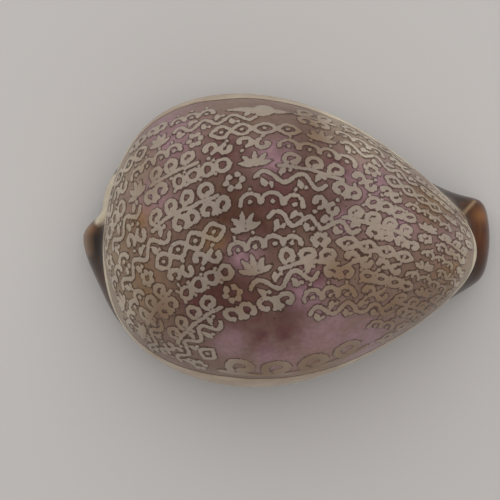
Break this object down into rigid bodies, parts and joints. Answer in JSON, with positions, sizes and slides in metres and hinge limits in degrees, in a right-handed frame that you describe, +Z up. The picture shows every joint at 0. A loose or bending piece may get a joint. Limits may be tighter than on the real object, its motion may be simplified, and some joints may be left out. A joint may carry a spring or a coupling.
{
  "type": "engraved cowrie shell",
  "caption": "Humped cowrie shell with an engraved back, a beaked front end, a knobbed rear end and a toothed slit in its flat base.",
  "frame": {"origin": "on the surface the shell stands on, under the middle of its bounding box", "axes": "+X towards the narrow front end with the beak, +Y towards the inner-lip side, +Z up through the back"},
  "size_m": [0.0818, 0.0576, 0.044],
  "materials": {
    "shell": "polished, semi-gloss"
  },
  "bodies": {
    "root": {"cowrie_shell": "shell"}
  },
  "joints": []
}
